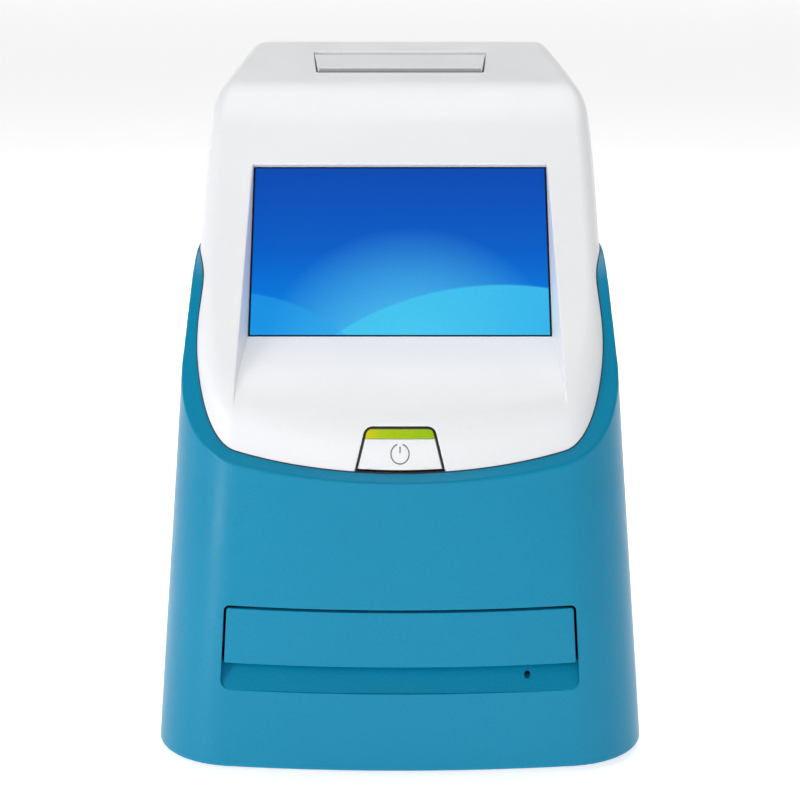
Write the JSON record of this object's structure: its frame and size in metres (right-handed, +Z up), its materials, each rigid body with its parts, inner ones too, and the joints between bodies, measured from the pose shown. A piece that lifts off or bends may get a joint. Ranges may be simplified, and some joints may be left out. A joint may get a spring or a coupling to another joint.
{
  "type": "chemistry analyzer",
  "caption": "Benchtop clinical chemistry analyzer with a disc drawer, a sloping touch screen, a lit power button and a receipt printer under a lid on top.",
  "frame": {"origin": "bottom centre of the bounding box, on the table between the four feet", "axes": "+X to the operator's right, -Y out of the front, +Z up"},
  "size_m": [0.241, 0.3, 0.3307],
  "materials": {
    "teal_shell": "fine-grained moulded plastic, satin",
    "white_shell": "smooth moulded plastic, semi-gloss",
    "lime_lens": "lit translucent window",
    "screen_glass": "touch glass over a lit display",
    "rubber": "soft rubber",
    "black_plastic": "moulded plastic",
    "grey_plastic": "moulded plastic",
    "clear_lens": "polished",
    "circuit_board": "solder mask",
    "brass": "plain",
    "aluminium": "milled",
    "steel": "plated sheet and rod"
  },
  "bodies": {
    "housing": {"base_shell": "teal_shell", "head_shell": "white_shell", "base_plate": "steel", "base_screw_front_left": "steel", "base_screw_front_right": "steel", "base_screw_rear_left": "steel", "base_screw_rear_right": "steel", "foot_front_left": "rubber", "foot_front_right": "rubber", "foot_rear_left": "rubber", "foot_rear_right": "rubber", "touch_glass": "screen_glass", "lcd_module": "aluminium", "lcd_bracket": "steel", "button_switch": "black_plastic", "drawer_motor": "steel", "rail_left": "grey_plastic", "rail_right": "grey_plastic", "lift_actuator": "steel", "guide_post_left": "steel", "guide_post_right": "steel", "chamber_lid": "aluminium", "clamp_bridge": "steel", "lamp_module": "black_plastic", "lamp_lens": "clear_lens", "photometer": "black_plastic", "barcode_reader": "black_plastic", "main_board": "circuit_board", "board_bracket": "steel", "power_supply": "aluminium", "fan_frame": "black_plastic", "rear_panel": "grey_plastic", "ethernet_port": "steel", "usb_port_1": "steel", "usb_port_2": "steel", "power_socket": "black_plastic", "rocker_frame": "black_plastic", "printer_bucket": "grey_plastic", "lid_hinge_pin": "steel", "thermal_head": "brass", "tear_bar": "grey_plastic"},
    "drawer": {"drawer_front": "teal_shell", "disc_tray": "grey_plastic", "drawer_rack": "black_plastic"},
    "pinion": {"drawer_pinion": "white_shell"},
    "lift": {"lift_plate": "aluminium", "spindle_motor": "black_plastic"},
    "hub": {"spindle_hub": "aluminium"},
    "clamp": {"clamp_puck": "grey_plastic"},
    "button": {"power_button": "white_shell", "button_lens": "lime_lens"},
    "lid": {"printer_lid": "white_shell"},
    "platen": {"platen_roller": "rubber"},
    "fan": {"fan_rotor": "black_plastic"},
    "rocker": {"power_rocker": "black_plastic"}
  },
  "joints": [
    {"name": "drawer_slide", "type": "slide", "parent": "housing", "child": "drawer", "axis": [0, -1, 0], "range_m": [0, 0.12]},
    {"name": "pinion_spin", "type": "hinge", "parent": "housing", "child": "pinion", "pos_m": [-0.058, -0.112, 0.057], "axis": [0, 0, 1], "range_deg": [0, 655]},
    {"name": "spindle_lift", "type": "slide", "parent": "housing", "child": "lift", "axis": [0, 0, 1], "range_m": [0, 0.005]},
    {"name": "hub_spin", "type": "hinge", "parent": "lift", "child": "hub", "pos_m": [0, -0.08, 0.05], "axis": [0, 0, 1], "continuous": true},
    {"name": "clamp_spin", "type": "hinge", "parent": "housing", "child": "clamp", "pos_m": [0, -0.08, 0.08], "axis": [0, 0, 1], "continuous": true},
    {"name": "power_button_press", "type": "slide", "parent": "housing", "child": "button", "axis": [0, 1, 0], "range_m": [0, 0.0012], "stiffness_N_per_m": 800},
    {"name": "printer_lid_hinge", "type": "hinge", "parent": "housing", "child": "lid", "pos_m": [0, 0.1095, 0.31943], "axis": [-1, 0, 0], "range_deg": [0, 90]},
    {"name": "platen_spin", "type": "hinge", "parent": "lid", "child": "platen", "pos_m": [0, 0.0835, 0.31366], "axis": [1, 0, 0], "continuous": true},
    {"name": "fan_spin", "type": "hinge", "parent": "housing", "child": "fan", "pos_m": [0, 0.137, 0.122], "axis": [0, 1, 0], "continuous": true},
    {"name": "power_rocker_tilt", "type": "hinge", "parent": "housing", "child": "rocker", "pos_m": [0.035, 0.1428, 0.041], "axis": [1, 0, 0], "range_deg": [0, 16]}
  ],
  "couplings": [
    {"joint": "pinion_spin", "follows": "drawer_slide", "rad_per_m": 95.238}
  ]
}
